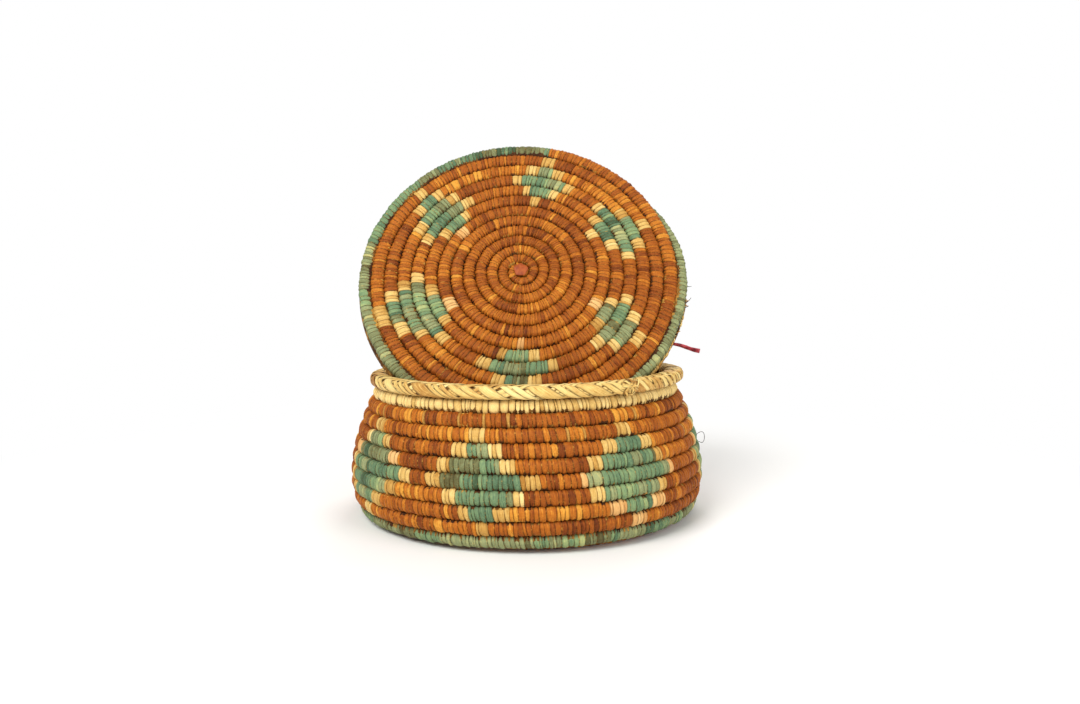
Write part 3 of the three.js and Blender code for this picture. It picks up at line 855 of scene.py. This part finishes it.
# The neck's tones are raised as painted light, to make up for the shade under the rim.
add_coil("basket", "neck_coil", "coil_straw", NECK_START, LAST_FULL_TURN + COIL_END_LENGTH, STRAW, 15,
         spread=0.42, groove_depth=1.0 * MM, proud=0.3 * MM, ragged=0.4 * MM, tip_cut=1.4 * MM,
         shades=[(NECK_START, LAST_FULL_TURN + 1, 0.46)], bundle=straw_bundle)

# Coils of the lid. Its stitches get coarser from the eye outwards, in three lengths.
LID_LENGTHS = [LID_FIRST_TURN - LID_EYE_START, 5.0, 8.5, GREEN_START]
LID_STITCHES = [2.1 * MM, 2.6 * MM, 2.9 * MM]

for i, (start, stop) in enumerate(zip(LID_LENGTHS, LID_LENGTHS[1:])):
    add_coil("lid", "lid_coil", "coil_rust", start, stop, RUST, 21 + i, f"lid_coil_{i}", squareness=2.6,
             groove_depth=(0.5 + 0.04 * i) * MM, mean_width=LID_STITCHES[i], contrast=0.92)
add_coil("lid", "lid_edge_coil", "coil_green", GREEN_START, GREEN_END, GREEN, 25,
         groove_depth=0.5 * MM, mean_width=3.0 * MM, bundle_shift=-1.0 * MM,
         shades=[(edge_turn(start), edge_turn(stop), change) for start, stop, change in LID_EDGE_SHADES])

# The seat's turn ends in a tail.
SEAT_TAIL_START = LID_TURNS + 19 * STEP
SEAT_TAIL_END = LID_TURNS + 23.4 * STEP
SEAT_TAIL_ASIDE = 5.7 * MM
SEAT_TAIL_CLOSING = 0.95 * MM
SEAT_TAIL_BELOW = 1.5 * MM
SEAT_TAIL_THINNING = 0.84
SEAT_TAIL_PULL = 0.16


def seat_tail_section(turn):
    """The end of the seat's coil is drawn out thin and caught along the outside of the green turn."""
    centre, along, out, width, thickness = lid_section(turn)
    edge_centre = lid_section(turn - 1)[0]
    risen = smooth_step(turn, SEAT_TAIL_START, SEAT_TAIL_END)
    aside = SEAT_TAIL_ASIDE - SEAT_TAIL_CLOSING * risen
    target = edge_centre + aside * along - SEAT_TAIL_BELOW * out
    size = 1 - SEAT_TAIL_THINNING * risen
    drawn_in = 1 - SEAT_TAIL_PULL * smooth_step(risen, 0, 0.25)
    centre = edge_centre + drawn_in * (centre + (target - centre) * risen - edge_centre)
    return centre, along, out, width * size, thickness * size


add_coil("lid", "lid_seat_coil", "coil_straw", GREEN_END, SEAT_TAIL_START, STRAW, 26,
         bundle=straw_bundle, bundle_rise=1.6 * MM)
add_coil("lid", "lid_seat_coil", "coil_straw", SEAT_TAIL_START, SEAT_TAIL_END, STRAW, 27, "lid_seat_tail",
         seat_tail_section, mean_width=2.8 * MM, groove_depth=0.4 * MM, tip_cut=0.3 * MM, overlap=0.0,
         shades=[(SEAT_TAIL_START, SEAT_TAIL_END, 0.2)], bundle=straw_bundle, bundle_overlap=0.0,
         bundle_rise=1.6 * MM)


# The rim: flat strips braided over a bundle. A place on it is a distance round the basket, a distance round
# the rim's own outline, from the middle of its outer face upwards, and a height over that outline.
STRIP_STEP = 15.5 * MM
STRIP_WIDTH = 8.8 * MM
STRIP_STEEPNESS = 33
STRIP_STEEPNESS_BEHIND = 8
STRIP_THICKNESS = 0.5 * MM
STRIP_LIFT = 0.45 * MM
STRIP_DIVE = 0.6 * MM
STRAND_SHARES = [0.42, 0.42, 0.16]
STRAND_WIDTH = 0.96
CORE_INSET = 1.5 * MM
CORE_SAG = 2.7 * MM
OUTLINE_SQUARENESS = 3.2
FACE_TOP = 4.6 * MM
FACE_BOTTOM = -4.6 * MM
CROSSED_START = math.radians(312)
CROSSED_END = math.radians(352)
CROSSED_STEP = 6.4 * MM
CROSSED_STEEPNESS = 46

braid_points = np.array([vertex.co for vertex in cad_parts["rim_braid"].data.vertices])
braid_turns = np.round(np.arctan2(braid_points[:, 1], braid_points[:, 0]) / (2 * np.pi) % 1, 4)
RIM_TURNS = np.unique(braid_turns)
RIM_LEVELS = np.array([braid_points[braid_turns == turn, 2].max() for turn in RIM_TURNS]) - RIM_HEIGHT / 2


def rim_outline(inset):
    """The rim's outline: distance round it, radial and vertical offset, and which way it faces."""
    angle = np.linspace(-np.pi, np.pi, 721)
    spread = squared_off(np.cos(angle), OUTLINE_SQUARENESS) * (RIM_THICKNESS / 2 - inset)
    rise = squared_off(np.sin(angle), OUTLINE_SQUARENESS) * (RIM_HEIGHT / 2 - inset)
    ahead = unit(np.stack([np.gradient(spread), np.gradient(rise)], 1))
    distance = lengths_along(np.stack([spread, rise], 1))
    return distance - np.interp(0, angle, distance), spread, rise, np.stack([ahead[:, 1], -ahead[:, 0]], 1)


OUTLINE = rim_outline(STRIP_THICKNESS + STRIP_LIFT)
OUTLINE_LENGTH = OUTLINE[0][-1] - OUTLINE[0][0]
RIM_LENGTH = 2 * math.pi * RIM_RADIUS


def rim_place(forth, around, height, outline=OUTLINE):
    distance, spread, rise, facing = outline
    around = (around - distance[0]) % (distance[-1] - distance[0]) + distance[0]
    turn = forth / RIM_LENGTH
    radius, level = (np.interp(around, distance, offset) + height * np.interp(around, distance, faced)
                     for offset, faced in ((spread, facing[:, 0]), (rise, facing[:, 1])))
    level = level + np.interp(turn % 1, RIM_TURNS, RIM_LEVELS, period=1)
    return round_axis(RIM_RADIUS + radius, 2 * np.pi * turn, level)


class StripMesh:
    """Many flat strips on the rim, gathered into one mesh. Each strip is a little higher along its middle."""

    across = np.array([-1.0, -0.72, -0.25, 0.25, 0.72, 1.0])
    crown = np.array([-0.7, -0.1, 0.3, 0.3, -0.1, -0.7])

    def __init__(self):
        self.vertices, self.quads = [], []
        self.weave, self.groove, self.crevice, self.tone = [], [], [], []
        self.count = 0

    def add(self, forth, around, height, width, tone, ends_dark, thickness=STRIP_THICKNESS,
            crowned=0.35 * MM):
        steps = len(forth)
        line = np.stack([forth, around], 1)
        ahead = unit(np.gradient(line, axis=0))
        side = np.stack([-ahead[:, 1], ahead[:, 0]], 1)
        half = np.broadcast_to(width, (steps,)) / 2
        places_forth = forth[:, None] + side[:, :1] * half[:, None] * self.across
        places_around = around[:, None] + side[:, 1:] * half[:, None] * self.across
        top = height[:, None] + crowned * self.crown
        upper = rim_place(places_forth, places_around, top)
        lower = rim_place(places_forth[:, ::-1], places_around[:, ::-1], top[:, ::-1] - thickness)
        ring = np.concatenate([upper, lower], 1)
        sides = ring.shape[1]
        self.vertices.append(ring.reshape(-1, 3))
        quads = ring_quads(steps, sides, flipped=True) + self.count
        first_end = np.arange(sides)[::-1] + self.count
        last_end = np.arange(sides) + self.count + (steps - 1) * sides
        self.quads += quads.tolist() + [first_end.tolist(), last_end.tolist()]

        both_faces = np.concatenate([self.across, self.across[::-1]])
        weave = np.zeros((steps, sides, 3))
        weave[:, :, 0] = half[:, None] * both_faces / MM
        weave[:, :, 1] = lengths_along(line)[:, None] / MM
        weave[:, :, 2] = 7 * len(self.tone)
        self.weave.append(weave.reshape(-1, 3))
        # Painted shade: each strip darkens towards its two edges, and towards its ends where they tuck under.
        self.groove.append(np.tile(0.8 * np.abs(both_faces) ** 6, steps))
        from_end = np.minimum(np.arange(steps), np.arange(steps)[::-1])
        self.crevice.append(np.repeat(ends_dark * np.clip(1 - from_end / (0.18 * steps), 0, 1), sides))
        self.tone.extend([tone] * (len(quads) + 2))
        self.count += steps * sides

    def build(self, name):
        obj = new_object(name, np.concatenate(self.vertices), self.quads, [rim_splint])
        set_splint(obj.data, self.tone, np.concatenate(self.groove), np.concatenate(self.crevice),
                   np.concatenate(self.weave))
        return obj


def braid_strip(start, rising, lie, steepness, low, high):
    """One strip of the braid, as distances round the basket and round the rim. It flattens out towards the
    bottom edge. Rising strips lie under the others on the rim's outer face and over them on its top."""
    around = np.linspace(low, high, 30)
    share = np.clip((around - FACE_BOTTOM) / (FACE_TOP - FACE_BOTTOM), 0, 1)
    slope = np.tan(np.radians(steepness * (0.72 + 0.5 * share)))
    run = np.concatenate([[0], np.cumsum(np.diff(around) / slope[1:])])
    run -= np.interp(0, around, run)
    over = smooth_step(around, FACE_TOP - 1.2 * MM, FACE_TOP + 1.8 * MM)
    height = STRIP_LIFT * (over if rising else 1 - over)
    dive = np.clip((FACE_BOTTOM - around) / (3 * MM), 0, 1)
    return start + (run if rising else -run), around, height + lie - STRIP_DIVE * dive


def tapered(around, width, low):
    """A strip's width where it narrows to the pointed end that is tucked in below."""
    share = np.clip((around - low) / (0.55 * (FACE_TOP - low)), 0, 1)
    return width * (0.22 + 0.78 * np.sqrt(share))


def in_crossed_part(forth):
    return CROSSED_START < forth / RIM_RADIUS % (2 * math.pi) < CROSSED_END


def add_plain_strip(strips, random, start, rising):
    """A broad strip, whole or split into two or three strands. Behind, the strips are steeper, and darker as
    painted shade.
    """
    width = STRIP_WIDTH * random.uniform(0.8, 1.06)
    ahead = 0.5 - 0.5 * math.sin(start / RIM_RADIUS)
    # Painted shade: the tone falls from the front of the rim to its back.
    tone = 0.34 + 0.3 * ahead + random.normal(0, 0.13)
    steepness = STRIP_STEEPNESS + STRIP_STEEPNESS_BEHIND * (1 - ahead) + random.normal(0, 2)
    low = FACE_BOTTOM - (1.5 if rising else 2.6) * MM
    high = OUTLINE_LENGTH * 0.5 + random.uniform(1, 2.4) * MM
    forth, around, height = braid_strip(start, rising, random.normal(0, 0.05 * MM), steepness, low, high)
    strands = int(random.choice([1, 2, 3], p=STRAND_SHARES))
    widths = width if rising else tapered(around, width, low)
    for strand in range(strands):
        aside = (strand - (strands - 1) / 2) * width / strands
        strips.add(forth + aside * 1.75, around, height, widths / strands * STRAND_WIDTH,
                   np.clip(tone + random.normal(0, 0.08), 0, 1), ends_dark=0.4)


def add_crossed_strip(strips, random, start, rising):
    """A narrow strip of the stretch beside the knot."""
    width = random.uniform(2.7, 4.5) * MM
    tone = 0.28 + 0.6 * random.beta(2.0, 2.0)
    start = start + random.normal(0, 0.6 * MM)
    strip = braid_strip(start, rising, random.normal(0, 0.1 * MM), CROSSED_STEEPNESS + random.normal(0, 4),
                        FACE_BOTTOM - 2 * MM, OUTLINE_LENGTH * 0.5 + 2 * MM)
    strips.add(*strip, width, tone, ends_dark=0.5)


def add_rim():
    random = np.random.default_rng(31)
    strips = StripMesh()
    count = round(RIM_LENGTH / STRIP_STEP)
    for k in range(count):
        for rising in (True, False):
            start = (k + (0.5 if rising else 0)) * RIM_LENGTH / count + random.normal(0, 0.5 * MM)
            if not in_crossed_part(start):
                add_plain_strip(strips, random, start, rising)
    start = CROSSED_START * RIM_RADIUS
    while start < CROSSED_END * RIM_RADIUS:
        for rising in (True, False):
            add_crossed_strip(strips, random, start, rising)
        start += CROSSED_STEP
    dress(strips.build("rim_braid_strips"), "basket", "rim_braid")


def add_rim_core():
    """The bundle inside the braid. Its bottom sags on the inner side, which closes the gap to the neck."""
    outline = rim_outline(CORE_INSET)
    distance = outline[0]
    rings, sides = 360, 28
    forth = np.linspace(0, RIM_LENGTH, rings, endpoint=False)
    around = np.linspace(distance[0], distance[-1], sides, endpoint=False)
    random = np.random.default_rng(32)
    height = random.uniform(-0.25, 0.2, sides) * MM
    inward = np.clip(0.5 - np.interp(around, distance, outline[1]) / (4 * MM), 0, 1)
    level = np.interp(around, distance, outline[2])
    height += CORE_SAG * inward * np.clip(-level / outline[2].max(), 0, 1) ** 4
    points = rim_place(*np.broadcast_arrays(forth[:, None], around), height, outline)
    quads = ring_quads(rings, sides, joined=True)[:, ::-1]
    # Its dark colour is painted shade where it shows between the strips.
    obj = new_object("rim_core_bundle", points.reshape(-1, 3), quads.tolist(), [straw_bundle])
    weave = np.zeros((rings, sides, 3))
    weave[:, :, 0] = around[None, :] / MM
    weave[:, :, 1] = forth[:, None] / MM
    plain = np.zeros(rings * sides)
    set_splint(obj.data, np.tile(random.uniform(0.1, 0.7, sides), rings), plain, plain, weave)
    dress(obj, "basket", "rim_core")


KNOT_STRIPS = 34


def add_rim_knot():
    """Where the braid starts and ends: its strips' ends are tucked through each other in a small tangle."""
    random = np.random.default_rng(33)
    strips = StripMesh()
    middle = RIM_LENGTH * KNOT_TURN
    t = np.linspace(-0.5, 0.5, 12)
    for k in range(KNOT_STRIPS):
        reach = random.uniform(4.0, 9.5) * MM
        heading = random.uniform(0, math.pi)
        bend = random.normal(0, 0.35)
        forth = middle + random.normal(0, 2.6 * MM) + reach * 1.25 * (t * math.cos(heading) - bend * t * t)
        around = random.normal(0, 1.3 * MM) + reach * 0.72 * (t * math.sin(heading) + bend * (t * t - 0.1))
        height = STRIP_LIFT + random.uniform(0.4, 1.7) * MM * (1 - (2 * t) ** 2) + 0.012 * MM * k
        width = random.uniform(0.7, 1.9) * MM
        strips.add(forth, around, height, width, random.choice([0.2, 0.45, 0.7]), ends_dark=0.6,
                   thickness=0.4 * MM, crowned=0.15 * MM)
    dress(strips.build("rim_knot_tangle"), "basket", "rim_knot")


add_rim_core()
add_rim()
add_rim_knot()


# Leather: the patch over the eye of the lid, and the end of a thong knotted inside it.
LEATHER_SHEEN = 0.3


def leather_material(name, worn, body, deep):
    material = bpy.data.materials.new(name)
    nodes = Nodes(material)
    place = nodes.place()
    patches = nodes.noise(place, (260.0, 260.0, 260.0), 3.0, 0.6)
    colour = nodes.ramp(patches, [(0.3, *deep), (0.5, *body), (0.72, *worn)])
    grain = nodes.add("TexVoronoi", {"Vector": place, "Scale": 1500.0}, feature="F1").outputs["Distance"]
    height = nodes.plus(grain, nodes.noise(place, (900.0, 900.0, 900.0), 2.0, 0.5))
    rough = nodes.plus(nodes.times(patches, 0.25), 0.42)
    nodes.finish(nodes.surface(colour, rough, LEATHER_SHEEN, height, strength=0.45, distance=0.2 * MM))
    return material


patch_leather = leather_material("patch_leather", (176, 90, 38), (156, 70, 22), (126, 50, 14))
thong_leather = leather_material("thong_leather", (196, 84, 90), (146, 42, 52), (92, 22, 32))


def weld(obj):
    mesh = bmesh.new()
    mesh.from_mesh(obj.data)
    bmesh.ops.remove_doubles(mesh, verts=mesh.verts, dist=1e-6)
    bmesh.ops.recalc_face_normals(mesh, faces=mesh.faces)
    mesh.to_mesh(obj.data)
    mesh.free()


# The patch's cut from the middle of its top round to that of its bottom: share of its radius, and level.
PATCH_PROFILE = [(0.0, 0.55), (0.3, 0.52), (0.6, 0.42), (0.85, 0.22), (0.96, 0.06), (1.0, -0.25),
                 (0.985, -0.6), (0.9, -0.68), (0.0, -0.6)]
PATCH_CORNERS = 5
PATCH_HEADING = math.radians(14)
PATCH_SHARE = 0.88
PATCH_DOMING = 1.15 * MM
PATCH_LIFT = 0.5 * MM
PATCH_LIFT_HEADING = math.radians(-42)


def add_patch():
    """Cut with five rounded corners, lying on the eye, its lower right edge lifted a little."""
    sides = 60
    angle = 2 * np.pi * np.arange(sides) / sides
    half_side = np.pi / PATCH_CORNERS
    corner = (angle - PATCH_HEADING) % (2 * half_side) - half_side
    outline = PATCH_RADIUS * PATCH_SHARE * (np.cos(half_side) / np.cos(corner)) ** 0.75
    outline = outline * (1 + 0.03 * np.sin(3 * angle + 1))
    rings = []
    for share, level in PATCH_PROFILE:
        lift = PATCH_LIFT * share**3 * np.clip(np.cos(angle - PATCH_LIFT_HEADING), 0, 1)
        level = PATCH_LEVEL + PATCH_THICKNESS / 2 + level * PATCH_DOMING
        rings.append(round_axis(outline * share, angle, level + lift))
    vertices = placed(np.concatenate(rings), LID_PLACE)
    quads = ring_quads(len(rings), sides, flipped=True)
    obj = new_object("leather_patch", vertices, quads.tolist(), [patch_leather])
    weld(obj)
    dress(obj, "lid", "lid_centre_patch")


STRAP_SQUARENESS = 2 / 0.35


def tube_object(name, spots, radii, sides, material, twist=0.0, flat=1.0):
    """A closed tube along points, of a round section or, where flat is under 1, a strap's."""
    ahead = unit(np.gradient(spots, axis=0))
    side = unit(np.cross(ahead[0], [0.0, 0.0, 1.0]))
    angle = 2 * np.pi * (np.arange(sides) + 0.5) / sides
    x, y = np.cos(angle), np.sin(angle)
    if flat < 1:
        x, y = squared_off(x, STRAP_SQUARENESS), flat * squared_off(y, STRAP_SQUARENESS)
    rings = []
    for i, spot in enumerate(spots):
        side = unit(side - ahead[i] * side.dot(ahead[i]))
        up = np.cross(side, ahead[i])
        turn = twist * i / (len(spots) - 1)
        c, s = math.cos(turn), math.sin(turn)
        rings.append(spot + radii[i] * (np.outer(c * x - s * y, side) + np.outer(s * x + c * y, up)))
    quads = ring_quads(len(spots), sides, flipped=True).tolist()
    quads += [list(range(sides))[::-1], [(len(spots) - 1) * sides + k for k in range(sides)]]
    obj = new_object(name, np.concatenate(rings), quads, [material])
    weld(obj)
    return obj


THONG_SEEN_WIDTH = 3.2 * MM
THONG_TWIST = math.radians(60)
THONG_WAVE = 0.3 * MM
THONG_WAVE_START = 0.42
THONG_SAG = 0.3 * MM
KNOT_STRAND = 0.95 * MM


def add_thong():
    level = lid_section(LID_TURNS + THONG_TURN)[0][1] - LID_COIL_THICKNESS / 2
    level -= RIM_SEAT_GAP + THONG_THICKNESS + THONG_SAG
    t = np.linspace(0, 1, 44)
    waving = np.clip((t - THONG_WAVE_START) / (1 - THONG_WAVE_START), 0, 1)
    spots = round_axis(LID_RADIUS - THONG_TUCK, 2 * np.pi * THONG_TURN, level)
    spots = spots + np.outer((THONG_TUCK + THONG_TAIL) * t, round_axis(1.0, THONG_SWING, 0.0))
    spots += np.outer(THONG_WAVE * np.sin(2 * np.pi * waving), round_axis(1.0, THONG_SWING + np.pi / 2, 0.0))
    radii = THONG_SEEN_WIDTH / 2 * (1 - 0.1 * np.exp(-((t - 0.78) / 0.06) ** 2))
    strap = tube_object("red_thong", placed(spots, LID_PLACE), radii, 16, thong_leather, THONG_TWIST,
                        THONG_THICKNESS / THONG_WIDTH)
    dress(strap, "lid", "lid_thong")

    knot_low, knot_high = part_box("lid_thong_knot")
    scale = (THONG_KNOT_RADIUS - KNOT_STRAND) / 3
    t = np.linspace(0, 2 * np.pi, 72)
    loops = np.stack([np.sin(t) + 2 * np.sin(2 * t), np.cos(t) - 2 * np.cos(2 * t), -1.5 * np.sin(3 * t)], 1)
    spots = np.array((knot_low + knot_high) / 2) + scale * loops
    knot = tube_object("red_thong_knot", spots, [KNOT_STRAND] * len(t), 10, thong_leather)
    dress(knot, "lid", "lid_thong_knot")


# Fibres: bristles at the lid's edge, each as its place in degrees, length and width, and a curl on the wall.
LID_FIBRES = [(355.5, 3.8 * MM, 0.6 * MM), (349.6, 2.8 * MM, 1.1 * MM), (348.8, 4.2 * MM, 0.8 * MM),
              (348, 2.6 * MM, 1.2 * MM), (347, 3.4 * MM, 0.9 * MM), (336.8, 2.6 * MM, 1.0 * MM),
              (336, 2.0 * MM, 0.8 * MM), (32, 2.2 * MM, 0.7 * MM)]
THICK_FIBRE = 0.95 * MM
CURL_TURN = 6 - 0.035
CURL_WIDTH = 0.4 * MM
CURL_REACH = 6 * MM
CURL_DROP = 3 * MM
CURL_TWIST = 5.5


def add_lid_fibres():
    random = np.random.default_rng(51)
    t = np.linspace(0, 1, 7)
    for i, (degrees, length, width) in enumerate(LID_FIBRES):
        radius, level = lid_section(edge_turn(degrees))[0]
        swing = random.normal(0.2, 0.6)
        reach = radius + LID_EDGE_WIDTH / 2 - 1 * MM + length * t
        heading = math.radians(degrees) + swing * length * t * t / reach
        rise = 2 * MM * t * random.uniform(0.6, 1.2, len(t))
        spots = placed(round_axis(reach, heading, level + rise), LID_PLACE)
        material = straw_splint if width > THICK_FIBRE else dark_bundle
        fibre = tube_object(f"lid_fibre_{i}", spots, width / 2 * (1 - 0.6 * t), 5, material)
        dress(fibre, "lid")


def add_wall_curl():
    centre, _, out, _, thickness = basket_section(CURL_TURN)
    radius, level = centre + out * thickness / 2
    t = np.linspace(0, 1, 40)
    angle = 2 * np.pi * CURL_TURN + 0.02 * np.cos(CURL_TWIST * t) * t
    spots = round_axis(radius + CURL_REACH * np.sin(math.pi * t * 0.9), angle,
                       level - CURL_DROP * t + CURL_DROP * np.sin(CURL_TWIST * t))
    curl = tube_object("wall_fibre", spots, [CURL_WIDTH / 2] * len(t), 5, dark_bundle)
    dress(curl, "basket")


add_patch()
add_thong()
add_lid_fibres()
add_wall_curl()


# Floor, light and background.
FLOOR_DROP = 0.4 * MM
FLOOR_REACH = 6.0
SHADOW_REACH = 260 * MM
MIDDLE = (0, 0, 0.12)


def add_stage():
    """A white floor that keeps the shadows near the basket, and further away is as white as the background.
    From below it is clear."""
    material = bpy.data.materials.new("white_floor")
    nodes = Nodes(material)
    lit = nodes.surface(linear(244, 243, 240), 0.9, 0.1)
    plain = nodes.add("Emission", {"Color": WHITE, "Strength": 1.0}).outputs[0]
    distance = nodes.add("VectorMath", {0: nodes.place()}, operation="LENGTH").outputs["Value"]
    fade = nodes.add("MapRange", {"Value": distance, "From Min": SHADOW_REACH, "From Max": 2 * SHADOW_REACH},
                     interpolation_type="SMOOTHSTEP").outputs[0]
    seen = nodes.mixed_shader(nodes.times(fade, nodes.camera_ray()), lit, plain)
    from_below = nodes.add("NewGeometry").outputs["Backfacing"]
    clear = nodes.add("BsdfTransparent").outputs[0]
    nodes.finish(nodes.mixed_shader(from_below, seen, clear))
    corners = [(x * FLOOR_REACH, y * FLOOR_REACH, 0) for x, y in ((-1, -1), (1, -1), (1, 1), (-1, 1))]
    floor = new_object("floor", corners, [(0, 1, 2, 3)], [material])
    floor.location.z = -FLOOR_DROP


def add_light(name, place, size, watts):
    """A square lamp that is aimed at the basket's middle."""
    data = bpy.data.lights.new(name, "AREA")
    data.shape = "SQUARE"
    data.size = size
    data.energy = watts
    light = bpy.data.objects.new(name, data)
    bpy.context.scene.collection.objects.link(light)
    light.location = place
    light.rotation_euler = (Vector(MIDDLE) - Vector(place)).to_track_quat("-Z", "Y").to_euler()


def add_world():
    """White where the camera sees it, and a dimmer light on the object."""
    world = bpy.data.worlds.new("world")
    bpy.context.scene.world = world
    nodes = Nodes(world)
    lit = nodes.add("Background", {"Color": WHITE, "Strength": 0.45}).outputs[0]
    seen = nodes.add("Background", {"Color": WHITE, "Strength": 1.0}).outputs[0]
    nodes.finish(nodes.mixed_shader(nodes.camera_ray(), lit, seen), "OutputWorld")


add_stage()
add_world()
add_light("key", (-0.7, -1.1, 1.3), 0.9, 26)
add_light("fill", (1.1, -1.0, 0.7), 1.0, 10)
add_light("back", (0.3, 1.2, 1.3), 1.0, 12)
bpy.context.scene.view_settings.view_transform = "Standard"
